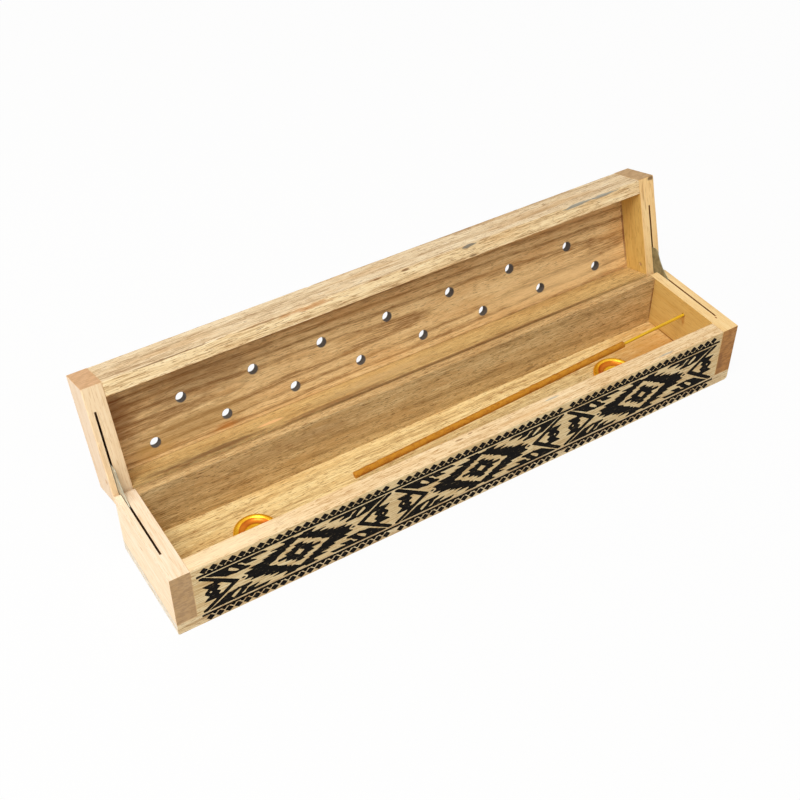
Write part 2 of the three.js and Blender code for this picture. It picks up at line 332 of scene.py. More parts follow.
def makeMarkAndShadePatch():
    # mask of one ragged patch, from millimetres, with its middle and its half size on each axis, used both for
    # stains and for painted shade and light
    tree, given, result = startGroup("markAndShadePatch", [
        ("Vector", "v", (0, 0, 0)), ("Middle", "v", (0, 0, 0)), ("HalfSize", "v", (1, 1, 1)),
        ("Rag", "f", 0.6), ("Soft", "f", 0.5),
    ], [("Mask", "f")])
    apart = vectorCalc(tree, "DIVIDE", vectorCalc(tree, "SUBTRACT", given["Vector"], given["Middle"]),
                       given["HalfSize"])
    reach = vectorCalc(tree, "LENGTH", apart)
    rag = grains(tree, given["Vector"], (0.12, 0.55, 0.55), detail=4.0)
    rag = times(tree, minus(tree, rag, 0.5), given["Rag"])
    reach = plus(tree, reach, times(tree, rag, 2.5))
    inner = minus(tree, 1.0, given["Soft"])
    tree.links.new(span(tree, reach, 1.0, inner), result["Mask"])
    return tree


woodFigure = makeWoodFigure()
arrisWear = makeArrisWear()
markAndShadePatch = makeMarkAndShadePatch()


# Wooden boards

outerSide = {"-X": (0, 0), "+X": (0, 1), "-Y": (1, 0), "+Y": (1, 1), "-Z": (2, 0), "+Z": (2, 1)}
sideAxis = {"-X": (-1, 0, 0), "+X": (1, 0, 0), "-Y": (0, -1, 0), "+Y": (0, 1, 0),
            "-Z": (0, 0, -1), "+Z": (0, 0, 1)}

# what the four end boards share; the words are explained below
endBoard = {"grain": "Y", "finer": 1.2, "ringWidth": 7.0, "lean": 0.02, "sway": 2.0,
            "warmth": 0.3, "rings": 0.04}

# arrises: how far each edge is sanded over, in millimetres, named by the two sides that meet there, lid shut
# grain: the axis that the grain follows
# heart: where the tree's heart lies from the board's middle, across the grain, in millimetres
# finer: how much finer the figure is than usual
# endTone: how much the end grain's own colours show, on boards whose ends can be seen
# tints: sides given painted shade and painted light, darker or paler than the board as the light falls on them,
# and what their colour is multiplied by, lid shut
boards = {
    "tray_floor": {
        "arrises": {"-X-Z": 0.9, "+X-Z": 1.7, "-Y-Z": 0.7, "+Y-Z": 0.7,
                    "-X-Y": 0.9, "+X-Y": 1.9, "-X+Y": 0.8, "+X+Y": 0.8},
        "grain": "X", "finer": 1.7, "heart": (-30, 55), "ringWidth": 6.0, "lean": 0.02, "sway": 3.0,
        "pale": rgb(255, 236, 180), "middle": rgb(240, 212, 150), "dark": rgb(158, 112, 56),
        "warm": rgb(220, 173, 98), "warmth": 0.35,
        "streaks": 0.5, "bands": 0.12, "rings": 0.08, "pores": 0.8, "clouds": 0.14,
        "endPale": rgb(206, 172, 122), "endDark": rgb(176, 140, 92), "endTone": 0.6,
        "paintedSideShading": [("-Y", (0.92, 0.93, 1.14, 1)), ("-X", (1.13, 1.43, 2.5, 1))],
    },
    "tray_front": {
        "arrises": {"-Y+Z": 0.4, "+Y+Z": 0.15},
        "grain": "X", "finer": 1.7, "heart": (60, 30), "ringWidth": 4.5, "lean": 0.015, "sway": 2.0,
        "pale": rgb(252, 232, 194), "middle": rgb(238, 207, 159), "dark": rgb(184, 138, 84),
        "warm": rgb(229, 187, 128), "warmth": 0.3,
        "streaks": 0.42, "bands": 0.12, "rings": 0.04, "pores": 0.9, "clouds": 0.1,
        "paintedSideShading": [("-Y", (0.92, 0.95, 0.9, 1))],
    },
    "tray_back": {
        "arrises": {"-Y+Z": 0.3},
        "grain": "X", "finer": 2.0, "heart": (6, 6), "ringWidth": 6.5, "lean": 0.05, "sway": 4.0,
        "pale": rgb(236, 206, 152), "middle": rgb(206, 168, 113), "dark": rgb(124, 88, 46),
        "warm": rgb(193, 143, 82), "warmth": 0.35,
        "streaks": 0.42, "bands": 0.14, "rings": 0.07, "pores": 0.9, "clouds": 0.12,
        "paintedSideShading": [("-Y", (1.06, 1.2, 1.36, 1))],
    },
    "tray_end_left": {
        "arrises": {"-X+Z": 0.45, "+X+Z": 0.15, "-X-Y": 0.5, "-X+Y": 0.5, "-Y+Z": 0.4},
        **endBoard, "heart": (30, -12),
        "pale": rgb(250, 235, 215), "middle": rgb(246, 223, 192), "dark": rgb(218, 182, 136),
        "warm": rgb(236, 195, 146),
        "streaks": 0.3, "bands": 0.08, "pores": 0.5, "clouds": 0.08,
        "endPale": rgb(187, 147, 97), "endDark": rgb(162, 123, 77), "endTone": 0.85,
    },
    "tray_end_right": {
        "arrises": {"+X+Z": 0.45, "-X+Z": 0.15, "+X-Y": 0.5, "+X+Y": 0.5, "-Y+Z": 0.4},
        **endBoard, "heart": (-26, -20),
        "pale": rgb(252, 227, 174), "middle": rgb(246, 213, 154), "dark": rgb(212, 165, 102),
        "warm": rgb(236, 188, 115),
        "streaks": 0.26, "bands": 0.1, "pores": 0.5, "clouds": 0.08,
        "endPale": rgb(184, 126, 64), "endDark": rgb(153, 99, 45), "endTone": 0.95,
        "paintedSideShading": [("-X", (0.74, 0.68, 0.43, 1))],
    },
    "lid_front": {
        "arrises": {"-Y-Z": 0.5, "+Y-Z": 0.15, "-Y+Z": 0.4},
        "grain": "X", "finer": 1.6, "heart": (-45, 25), "ringWidth": 5.0, "lean": 0.02, "sway": 3.0,
        "pale": rgb(252, 234, 200), "middle": rgb(234, 206, 162), "dark": rgb(148, 104, 60),
        "warm": rgb(214, 165, 104), "warmth": 0.35,
        "streaks": 0.5, "bands": 0.14, "rings": 0.08, "pores": 0.75, "clouds": 0.12,
        "paintedSideShading": [("-Z", (1.12, 1.13, 1.06, 1))],
    },
    "lid_back": {
        "arrises": {"+Y-Z": 0.4, "-Y-Z": 0.15, "+Y+Z": 0.4},
        "grain": "X", "finer": 1.8, "heart": (20, 12), "ringWidth": 6.0, "lean": 0.03, "sway": 3.0,
        "pale": rgb(240, 214, 152), "middle": rgb(215, 181, 118), "dark": rgb(140, 100, 52),
        "warm": rgb(203, 151, 84), "warmth": 0.3,
        "streaks": 0.44, "bands": 0.12, "rings": 0.05, "pores": 0.8, "clouds": 0.12,
    },
    "lid_panel": {
        "arrises": {},
        "grain": "X", "finer": 1.9, "heart": (4, -9), "ringWidth": 4.2, "lean": 0.035, "sway": 5.0,
        "pale": rgb(250, 220, 164), "middle": rgb(226, 188, 130), "dark": rgb(146, 104, 60),
        "warm": rgb(209, 153, 88), "warmth": 0.35,
        "streaks": 0.42, "bands": 0.13, "rings": 0.16, "pores": 0.6, "clouds": 0.14,
    },
    "lid_end_left": {
        "arrises": {"-X-Z": 0.5, "+X-Z": 0.15, "-X-Y": 0.5, "-X+Y": 0.5, "-X+Z": 0.5,
                    "-Y-Z": 0.4, "-Y+Z": 0.4, "+Y-Z": 0.4, "+Y+Z": 0.4},
        **endBoard, "heart": (24, 18),
        "pale": rgb(252, 232, 200), "middle": rgb(246, 218, 177), "dark": rgb(214, 174, 122),
        "warm": rgb(238, 192, 135),
        "streaks": 0.26, "bands": 0.08, "pores": 0.5, "clouds": 0.08,
        "endPale": rgb(214, 166, 120), "endDark": rgb(195, 146, 100), "endTone": 0.85,
        "paintedSideShading": [("-X", (0.86, 0.88, 1.0, 1))],
    },
    "lid_end_right": {
        "arrises": {"+X-Z": 0.5, "-X-Z": 0.15, "+X-Y": 0.5, "+X+Y": 0.5, "+X+Z": 0.5,
                    "-Y-Z": 0.4, "-Y+Z": 0.4, "+Y-Z": 0.4, "+Y+Z": 0.4},
        **endBoard, "heart": (-22, 20),
        "pale": rgb(255, 228, 169), "middle": rgb(251, 213, 150), "dark": rgb(202, 154, 92),
        "warm": rgb(240, 182, 110),
        "streaks": 0.28, "bands": 0.1, "pores": 0.6, "clouds": 0.1,
        "endPale": rgb(194, 158, 115), "endDark": rgb(172, 135, 94), "endTone": 0.9,
        "paintedSideShading": [("-X", (0.76, 0.71, 0.44, 1))],
    },
}

woodFinish = {
    "apart": 137.0,  # millimetres from one board's figure to the next one's
    "facing": (0.75, 0.92),  # how squarely a face looks along a direction where the end grain's colour and a side's painted shade start and are full
    "endPits": (0.3, 0.34, 0.9),
    "endContrast": (0.4, 0.62),
    "arris": {"Width": 0.32, "Rag": 1.6},
    "arrisTone": 0.3,
    "roughness": (0.52, 0.66),
    "specular": 0.2,
    "grainDepth": 0.03,
}

wear = {
    "sliceLength": 1.5,  # between the cross-cuts that let an arris wander
    "wander": 0.45,  # how much the easing of an arris varies
    "waves": [(0.11, 1.7, 1.0), (0.45, 9.1, 0.6)],  # to a millimetre along the arris, noise layer, share
    "chipped": (0.3, 1),  # arrises with an easing between these are bruised too
    "chipOften": 0.21,  # to a millimetre
    "chipFrom": 0.42,  # how high the noise must be for the arris to be bruised
    "chipFull": 0.3,  # and how much higher where the bruise has its full size
    "chipSize": 2.6,  # times the usual easing
    "butt": 0.15,  # how far the long boards reach into their glue lines
    "sink": 0.18,  # how far the standing boards reach down to the floor board
    "inkBed": 0.04,  # how far the printed face lies below the ink
}


def isOnLid(node):
    return node in frame["record"]["behaviour"]["bodies"]["lid"]


def mergedCopy(node):
    # the CAD piece as one closed mesh, with the lid's pieces turned shut
    work = bmesh.new()
    work.from_mesh(frame["nodes"][node].data)
    bmesh.ops.remove_doubles(work, verts=work.verts, dist=0.002 * mm)
    if isOnLid(node):
        work.transform(openToClosed)
    bmesh.ops.dissolve_limit(work, angle_limit=math.radians(0.5), verts=work.verts, edges=work.edges)
    return work


def boxOf(work):
    low = Vector(min(vert.co[axis] for vert in work.verts) for axis in range(3))
    high = Vector(max(vert.co[axis] for vert in work.verts) for axis in range(3))
    return low, high


def finishPiece(name, work, material, body, replaced=(), smooth=True, sharp=50):
    # edges that turn by more than the sharp angle, in degrees, stay crisp
    if body == "lid":
        work.transform(closedToOpen)
    work.normal_update()
    for edge in work.edges:
        edge.smooth = len(edge.link_faces) != 2 or edge.calc_face_angle(0) < math.radians(sharp)
    mesh = bpy.data.meshes.new(name)
    work.to_mesh(mesh)
    work.free()
    mesh.materials.append(material)
    for face in mesh.polygons:
        face.use_smooth = smooth
    piece = addObject(name, mesh)
    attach(piece, body)
    if replaced:
        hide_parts(*replaced)
    return piece


def keepFlatsFlat(piece):
    weighted = piece.modifiers.new("flats", "WEIGHTED_NORMAL")
    weighted.weight = 90
    weighted.keep_sharp = True


def arrisPlanes(code, low, high):
    # the two planes that meet at an arris, each as its axis and its place
    planes = []
    for word in (code[:2], code[2:]):
        axis, end = outerSide[word]
        planes.append((axis, (low, high)[end][axis]))
    return planes


def arrisSwell(code, place, onLid):
    # how the easing of an arris varies along it, the same on neighbouring boards
    # its row of the noise comes from its name
    row = sum(ord(letter) * (index + 1) for index, letter in enumerate(code)) * 0.37 + (50 if onLid else 0)
    return sum(share * noise.noise(Vector((place * often, row, layer)))
               for often, layer, share in wear["waves"])


def easeArrises(work, settings, seed, onLid):
    low, high = boxOf(work)
    near = 0.01 * mm
    leastChipped, mostChipped = wear["chipped"]
    for code, ease in settings["arrises"].items():
        planes = arrisPlanes(code, low, high)
        chosen = [edge for edge in work.edges
                  if all(abs(vert.co[axis] - at) < near for vert in edge.verts for axis, at in planes)]
        bmesh.ops.bevel(work, geom=chosen, offset=ease * mm, offset_type="OFFSET", profile=0.5,
                        segments=3 if ease < 1 else 5, affect="EDGES", material=-1, clamp_overlap=True)
    bmesh.ops.triangulate(work, faces=work.faces)
    run = 1 if settings["grain"] == "Y" else 0
    count = int((high[run] - low[run]) / (wear["sliceLength"] * mm))
    for index in range(1, count):
        at = Vector((0, 0, 0))
        at[run] = low[run] + (high[run] - low[run]) * index / count
        along = Vector((0, 0, 0))
        along[run] = 1
        everything = work.verts[:] + work.edges[:] + work.faces[:]
        bmesh.ops.bisect_plane(work, geom=everything, dist=1e-7, plane_co=at, plane_no=along)
    for code, ease in settings["arrises"].items():
        planes = arrisPlanes(code, low, high)
        free = 3 - sum(axis for axis, _ in planes)
        for vert in work.verts:
            gaps = [(axis, vert.co[axis] - at) for axis, at in planes]
            if max(abs(gap) for _, gap in gaps) > ease * mm * 1.02:
                continue
            swell = arrisSwell(code, vert.co[free] / mm, onLid)
            scale = 1 + wear["wander"] * swell
            if leastChipped < ease < mostChipped:
                # each board and side has its own row of the noise
                along = vert.co[free] / mm * wear["chipOften"]
                bruise = noise.noise(Vector((along, seed * 7.3, planes[0][0] * 3.1)))
                scale += wear["chipSize"] * max(0, bruise - wear["chipFrom"]) / wear["chipFull"]
            for axis, gap in gaps:
                vert.co[axis] += gap * (scale - 1)
    if settings["grain"] == "X" and "-X-Y" not in settings["arrises"]:
        for vert in work.verts:
            for end, way in ((low, -1), (high, 1)):
                if abs(vert.co.x - end.x) < near:
                    vert.co.x += way * wear["butt"] * mm
    if not onLid and low.z > near:
        for vert in work.verts:
            if abs(vert.co.z - low.z) < near:
                vert.co.z -= wear["sink"] * mm
    return low, high


def boardMapping(tree, node, low, high, grain):
    # millimetres from the board's middle, with X along the grain and the lid's boards turned shut
    turn = Matrix.Rotation(openAngle, 3, "X") if isOnLid(node) else Matrix.Identity(3)
    shift = (Vector(pivot) - turn @ Vector(pivot)) if isOnLid(node) else Vector((0, 0, 0))
    along = Matrix.Rotation(-math.pi / 2, 3, "Z") if grain == "Y" else Matrix.Identity(3)
    total = along @ turn
    move = along @ (shift - (low + high) / 2) / mm
    spot, normal = objectMillimetres(tree, total.to_euler("XYZ"), move)
    half = along @ ((high - low) / 2 / mm)
    sides = {name: turn.inverted() @ Vector(axis) for name, axis in sideAxis.items()}
    sides["grain"] = total.inverted() @ Vector((1, 0, 0))
    return spot, Vector(map(abs, half)), sides, normal


# Patches on single boards: middle and half size in millimetres from the board's middle, along the grain
# first, then how ragged and how soft, colour on screen, strength
# some are stains, marks and scuffs; others are painted shade, painted shadow and painted light, as said above them
patches = {
    "tray_floor": [
        # painted shade: the floor darker and more orange towards its right end, away from the light
        ((128, 0, 3.2), (48, 30, 4), 0.3, 0.95, (210, 150, 66), 0.85),
    ],
    "tray_front": [
        # painted light: the rim paler at its left end, nearer the light
        ((-130, 0, 14), (60, 6, 3), 0.3, 0.95, (255, 232, 192), 0.6),
        ((-8.8, 1.8, 14), (2.2, 0.5, 1.5), 1.0, 0.5, (150, 108, 66), 0.8),
        ((-2.2, 2.7, 14), (1.6, 0.4, 1.5), 1.0, 0.5, (150, 108, 66), 0.8),
        ((4.8, 2.0, 14), (2.4, 0.5, 1.5), 1.0, 0.5, (160, 118, 74), 0.8),
        ((42.5, 1.9, 14), (7.5, 0.6, 1.5), 1.0, 0.7, (160, 164, 156), 0.6),
        ((106, -1.8, 14), (7, 0.6, 1.5), 1.0, 0.7, (150, 160, 160), 0.6),
        ((30, -1, 14), (30, 1.2, 2), 0.8, 0.7, (214, 164, 104), 0.3),
    ],
    "tray_back": [
        ((142.6, -2.5, 0), (0.7, 1, 13), 0.3, 0.5, (130, 84, 44), 0.7),
        ((-91, 0, 11.5), (5.5, 3, 2.2), 0.5, 0.7, (196, 118, 52), 0.75),
        # painted shade on the inner face, darker towards the left
        ((-60, -2.5, 6), (40, 2, 5), 0.7, 0.8, (150, 108, 66), 0.35),
        ((65, -2.5, -11), (7, 2, 1.2), 0.8, 0.6, (104, 66, 34), 0.5),
    ],
    "tray_end_left": [
        ((2.4, 4.65, 4.4), (1.6, 1, 0.45), 0.5, 0.5, (198, 150, 96), 0.8),
    ],
    "tray_end_right": [
        ((-28, 3.2, -6), (2, 2.2, 9), 0.3, 0.9, (128, 84, 48), 0.6),
        ((-28, -3, 8), (2, 2.5, 5), 0.3, 0.9, (196, 146, 92), 0.5),
        ((2, 4.65, -13.6), (24, 1, 0.55), 0.3, 0.5, (140, 84, 36), 0.8),
        # painted shadow below the bamboo's end where it goes into the board
        ((-0.6, 4.65, 2.2), (1.3, 1.2, 4.4), 0.4, 0.95, (176, 108, 40), 0.6),
        ((-17.5, 0.2, 13.95), (0.9, 0.5, 0.6), 0.3, 0.4, (150, 92, 44), 0.9),
    ],
    "lid_front": [
        ((-112, -3.3, -9.7), (26, 0.35, 0.5), 0.5, 0.5, (120, 86, 48), 0.8),
        ((-66, -2.9, -9.75), (24, 0.5, 0.8), 0.8, 0.6, (150, 104, 58), 0.75),
        ((-46, -2.3, -9.75), (16, 1.5, 1.6), 0.7, 0.6, (196, 124, 56), 0.6),
        ((4.8, -2.6, -9.75), (2.2, 0.7, 0.8), 0.6, 0.5, (122, 78, 40), 0.8),
        ((-10, -3.2, -9.75), (2.6, 0.6, 0.8), 0.6, 0.5, (130, 84, 44), 0.8),
        ((39.5, -2.8, -9.75), (5.5, 0.9, 1.0), 1.0, 0.5, (112, 112, 106), 0.85),
        ((41.5, 2.6, -9.75), (2.0, 0.5, 0.8), 1.0, 0.5, (124, 96, 64), 0.7),
        ((105, -2.8, -9.75), (7.5, 0.9, 1.0), 1.0, 0.5, (132, 138, 134), 0.8),
        ((121.5, -2.9, -9.75), (8, 0.8, 1.0), 1.0, 0.5, (140, 148, 146), 0.75),
    ],
    "lid_back": [
        ((-15, -2.5, -2.5), (50, 1, 6), 0.4, 0.9, (220, 192, 140), 0.5),
        # painted shade along the rim and the lower inner face, where the lid's back board falls into shadow
        ((-104, -2.5, -7.4), (42, 2, 3.8), 0.5, 0.7, (118, 80, 46), 0.8),
        ((-40, -2.5, -8.4), (50, 2, 2.0), 0.4, 0.7, (132, 92, 54), 0.7),
        ((20, -2, -9.8), (120, 3, 1.0), 0.3, 0.6, (140, 98, 58), 0.7),
        # painted highlight on the inner face
        ((-73, -2.5, -3.4), (9, 1, 1.7), 0.3, 0.5, (250, 204, 144), 0.9),
    ],
    "lid_panel": [
        ((142.6, 2, -2), (0.8, 22, 1), 0.8, 0.5, (120, 66, 36), 0.7),
        # painted shadow along the front board, at the right end
        ((112, -16, -2), (44, 7, 3), 0.5, 0.95, (206, 158, 100), 0.6),
        # painted shade, darker towards the left end
        ((-105, 13, -2), (42, 9, 3), 0.5, 0.7, (180, 140, 82), 0.55),
        ((-92, 19.5, -2), (8, 2.6, 2), 0.6, 0.9, (196, 126, 58), 0.7),
        # painted shade, darker towards the left end
        ((-100, -8, -2), (50, 20, 3), 0.8, 0.9, (130, 88, 48), 0.4),
        ((-138, -4, -2), (14, 20, 3), 0.4, 0.9, (126, 74, 28), 0.6),
        ((-126, 17, -2), (16, 5, 3), 0.4, 0.9, (198, 156, 90), 0.6),
        # painted light, paler towards the right end
        ((96, 14, -2), (70, 12, 3), 0.6, 0.95, (244, 208, 150), 0.65),
        # painted shadow along the front board
        ((-30, -17, -2), (110, 5, 3), 0.8, 0.8, (124, 82, 44), 0.4),
    ],
    "lid_end_right": [
        ((-27, -2.4, -9.75), (1.6, 2.2, 1.6), 0.4, 0.5, (112, 80, 46), 0.85),
        ((-21, 2.8, -9.75), (7, 0.6, 1), 0.6, 0.5, (168, 112, 58), 0.6),
        ((-14.5, 2, -9.75), (4, 0.4, 1), 0.6, 0.5, (168, 112, 58), 0.5),
    ],
}

# painted shade in the saw kerfs and on the vents' walls, where the cuts fall into shadow
paintedShade = {
    # middle of the kerf from the board's middle, its end towards the front, and the colour of the painted shade on
    # its walls
    "kerfs": {
        "tray_end_left": (1.45, -13.6, rgb(104, 72, 42)),
        "tray_end_right": (-0.55, -16.8, rgb(164, 118, 70)),
        "lid_end_left": (1.45, -16.8, rgb(92, 62, 36)),
        "lid_end_right": (-0.55, -13.6, rgb(128, 88, 50)),
    },
    "kerfHalfWidth": 0.5,
    "kerfBlur": (0.08, 0.02),  # how far past the kerf's sides the painted shade ends and is full
    "kerfDepth": (0.02, 0.12),  # below the rim, where the painted shade starts and is full
    "ventRadius": 2.5,
    "ventRing": 0.5,
    "ventDepth": (1.98, 1.9),  # from the middle of the panel's thickness
    "ventRingShade": 0.35,
    # each row's place across the grain from the panel's middle, the place of one of its vents
    # along the grain, and the pitch
    "ventRows": ((14.2, -0.9 + 17.65, 35.3), (-2.0, -0.9, 35.7)),
    "ventSpan": 128.0,
    "ventWallShade": rgb(98, 86, 76),
}


def kerfShadeMask(tree, node, spot, half):
    # 1 on the walls of the saw kerf, where painted shade goes
    inset, start, _ = paintedShade["kerfs"][node]
    rim = half.z if node.startswith("tray") else -half.z
    way = 1 if rim > 0 else -1
    x, y, z = axesOf(tree, spot)
    off = calc(tree, "ABSOLUTE", minus(tree, y, inset))
    mask = span(tree, off, *(paintedShade["kerfHalfWidth"] + blur for blur in paintedShade["kerfBlur"]))
    depth = times(tree, minus(tree, rim, z), way)
    mask = times(tree, mask, span(tree, depth, *paintedShade["kerfDepth"]))
    return times(tree, mask, span(tree, x, start, start + 1))


def ventShadeMasks(tree, spot):
    # 1 on the walls of the vents, where painted shade goes, and 1 on a narrow ring round their mouths, which gets
    # a lighter touch of it
    x, y, z = axesOf(tree, spot)
    nearest = 100.0  # farther than any vent
    for across, along, pitch in paintedShade["ventRows"]:
        wrapped = addNode(tree, "ShaderNodeMath", operation="WRAP")
        for socket, value in zip(wrapped.inputs, (minus(tree, x, along), pitch / 2, -pitch / 2)):
            feed(tree, socket, value)
        aside = minus(tree, y, across)
        squares = plus(tree, times(tree, wrapped.outputs[0], wrapped.outputs[0]),
                       times(tree, aside, aside))
        nearest = calc(tree, "MINIMUM", calc(tree, "SQRT", squares), nearest)
    inside = span(tree, calc(tree, "ABSOLUTE", x), paintedShade["ventSpan"] + 1, paintedShade["ventSpan"])
    radius = paintedShade["ventRadius"]
    near = times(tree, inside, span(tree, nearest, radius + paintedShade["ventRing"], radius))
    wall = times(tree, near, span(tree, calc(tree, "ABSOLUTE", z), *paintedShade["ventDepth"]))
    return wall, near


def woodColour(tree, node, settings, low, high, seed):
    spot, half, sides, normal = boardMapping(tree, node, low, high, settings["grain"])
    finer = settings["finer"]
    shift = seed * woodFinish["apart"]
    moved = vectorCalc(tree, "ADD", spot, (shift, 0, 0))
    moved = vectorCalc(tree, "MULTIPLY", moved, (finer,) * 3)
    heart = Vector((shift, *settings["heart"])) * finer
    own = {name: settings[name.lower()] for name, _, _ in figureInputs}
    figure = place(tree, woodFigure, Vector=moved, Heart=heart,
                   RingWidth=settings["ringWidth"] * finer, **own)
    colour = figure["Color"]
    if "endTone" in settings:
        facing = calc(tree, "ABSOLUTE", vectorCalc(tree, "DOT_PRODUCT", normal, sides["grain"]))
        showing = times(tree, span(tree, facing, *woodFinish["facing"]), settings["endTone"])
        pits = span(tree, grains(tree, spot, woodFinish["endPits"], rough=0.6), *woodFinish["endContrast"])
        cut = blendColour(tree, pits, settings["endPale"], settings["endDark"])
        colour = blendColour(tree, showing, colour, cut)
    # painted shade and painted light on whole sides, darker or paler as the light falls on them
    for side, tint in settings.get("paintedSideShading", []):
        facing = vectorCalc(tree, "DOT_PRODUCT", normal, sides[side])
        colour = blendColour(tree, span(tree, facing, *woodFinish["facing"]), colour, tint, "MULTIPLY")
    worn = place(tree, arrisWear, Vector=spot, HalfSize=half, **woodFinish["arris"])["Mask"]
    colour = blendColour(tree, times(tree, worn, woodFinish["arrisTone"]), colour, settings["warm"])
    # stains and marks, and painted shade and painted light, one patch at a time
    for middle, size, rag, soft, tint, strength in patches.get(node, []):
        mask = place(tree, markAndShadePatch, Vector=spot, Middle=middle, HalfSize=size, Rag=rag, Soft=soft)["Mask"]
        colour = blendColour(tree, times(tree, mask, strength), colour, rgb(*tint))
    # painted shade on the walls of the saw kerf
    if "_end_" in node:
        colour = blendColour(tree, kerfShadeMask(tree, node, spot, half), colour, paintedShade["kerfs"][node][2])
    # painted shade on the vents' walls, and a lighter touch of it on a ring round their mouths
    if node == "lid_panel":
        wall, ring = ventShadeMasks(tree, spot)
        ring = times(tree, ring, paintedShade["ventRingShade"])
        colour = blendColour(tree, ring, colour, paintedShade["ventWallShade"])
        colour = blendColour(tree, wall, colour, paintedShade["ventWallShade"])
    return colour, figure, spot


def makeBoards():
    for order, (node, settings) in enumerate(boards.items()):
        work = mergedCopy(node)
        low, high = easeArrises(work, settings, order + 1, isOnLid(node))
        if node in ("tray_front", "tray_floor"):
            for vert in work.verts:
                if vert.co.y < low.y + 0.001 * mm:
                    vert.co.y += wear["inkBed"] * mm
        material, tree, shader = startMaterial(node + "_wood")
        colour, figure, _ = woodColour(tree, node, settings, low, high, order + 1)
        rough = span(tree, figure["Tone"], 0.0, 1.0, *woodFinish["roughness"])
        dressShader(tree, shader, colour, rough, figure["Height"], woodFinish["grainDepth"],
                    specular=woodFinish["specular"])
        body = "lid" if isOnLid(node) else "tray"
        piece = finishPiece(node + "_board", work, material, body, [node])
        keepFlatsFlat(piece)
    print("boards made")


# Printed band on the tray's front board

band = {
    "unit": 94.05,  # length of one repeat
    "middle": 17.1,  # height of the field's middle
    "face": -28.0 + 0.005,
    "depth": 0.09,
    "step": 0.6,  # longest side of a ragged outline
    "rag": 0.05,
    "ragAlong": 1.6,  # how much more uneven it is along the board
    "calmBelow": 30,  # outlines shorter than this are less ragged
    "spread": 0.16,  # how far the ink ran past the printed outline
    "eye": [(0, 5.4), (2.3, 5.1), (1.3, 4.0), (3.9, 3.4), (3.2, 2.7), (7.1, 2.2), (6.2, 1.3), (6.1, 0.65),
            (10.0, 0.6), (10.4, 0)],
    "eyeHole": [(0, 1.95), (2.7, 0)],
    "ringIn": [(0, 8.7), (2.0, 7.6), (2.9, 6.8), (4.6, 6.9), (4.3, 5.9), (6.5, 5.6), (6.3, 4.6), (8.1, 4.1),
               (10.6, 2.9), (11.2, 1.7), (14.3, 0.6), (14.75, 0)],
    "ringOut": [(0, 9.8), (2, 9.9), (2.6, 10.6), (8.5, 10.4), (6.3, 9.2), (6.7, 8.3), (13.4, 8.1),
                (10.1, 7.2), (10.5, 6.6), (14.9, 6.3), (12.9, 5.7), (17.5, 5.1), (16, 4.1), (23.7, 3.7),
                (21.5, 2.4), (26.3, 1.8), (24.6, 0.6), (24.3, 0)],
    "wedge": [(43.2, 10.65), (41.5, 9.6), (39.3, 8.5), (34.3, 5.4), (32.5, 5.3), (30.2, 4.9), (29.5, 4.6),
              (28.4, 4.9), (23.4, 4.85), (22.9, 5.4), (24.0, 6.0), (25.6, 6.5), (26.0, 7.5), (27.3, 8.4),
              (28.6, 9.2), (28.4, 9.7), (26.3, 9.4), (25.7, 8.3), (24.7, 7.5), (19.7, 7.2), (20.6, 7.8),
              (22.4, 8.7), (22.3, 9.4), (20.1, 9.3), (14.6, 9.3), (16.2, 10.4), (17, 10.65)],
    "wedgeHole": [(33.2, 8.3), (32.4, 9.6), (31.4, 9.3), (29.0, 7.3), (28.0, 6.1), (28.4, 5.6), (29.6, 5.8),
                  (31.9, 7.1)],
    "chevron": [(28.5, 0), (44.3, 10.6), (45.9, 10.6), (46.1, 9.9), (40.0, 5.8), (39.5, 4.9), (45.1, 4.7),
                (43.9, 3.6), (42.3, 2.4), (44.3, 0.5), (44.3, 0)],
    "chevronHole": [(31.9, 0), (34.2, 1.6), (36.4, 3.3), (38.0, 3.4), (38.6, 2.8), (37.8, 2.1), (37.3, 1.4),
                    (38.9, 0.3), (38.9, 0)],
    "lines": [(29.15, 1.25), (4.75, 1.25)],  # height and width
    "lineEnds": (-141.1, 141.8),
    "rows": [(31.5, 30.1), (2.15, 3.8)],  # heights of the large and the small diamonds
    "diamond": (1.85, 1.6),
    "smallDiamond": (0.95, 0.85),
    "diamondPitch": 4.334,
    "diamondsAside": 10,  # large diamonds on each side of a repeat's middle
    "speck": (26.6, 1.0, 0.45),  # how far along, half width, half height
    "chevronDot": (41.7, 0.85, 0.85),
}

ink = {
    "black": rgb(12, 11, 10), "grey": rgb(26, 23, 21),
    "flecks": (0.4, 2.4, 2.4),
    "wornFrom": (0.62, 0.74),
    "worn": 0.25,  # how much of the wood shows through there
    "roughness": (0.7, 0.85),
    "specular": 0.05,
}


def lozenge(across, up, halfWide, halfHigh):
    return [(across, up + halfHigh), (across + halfWide, up),
            (across, up - halfHigh), (across - halfWide, up)]


def closeUp(loop):
    # the outline without points that fall on each other where its parts meet
    return [point for index, point in enumerate(loop) if math.dist(point, loop[index - 1]) > 0.01]


def inQuarters(quarter):
    # a closed outline from the quarter of it that runs from the upright axis to the level one
    loop = quarter + [(w, -h) for w, h in reversed(quarter)]
    return closeUp(loop + [(-w, -h) for w, h in quarter] + [(-w, h) for w, h in reversed(quarter)])


def inHalves(half):
    # a closed outline from its upper half
    return closeUp(half + [(w, -h) for w, h in reversed(half)])


def flipped(loop, wide, high):
    return [(w * wide, h * high) for w, h in loop]


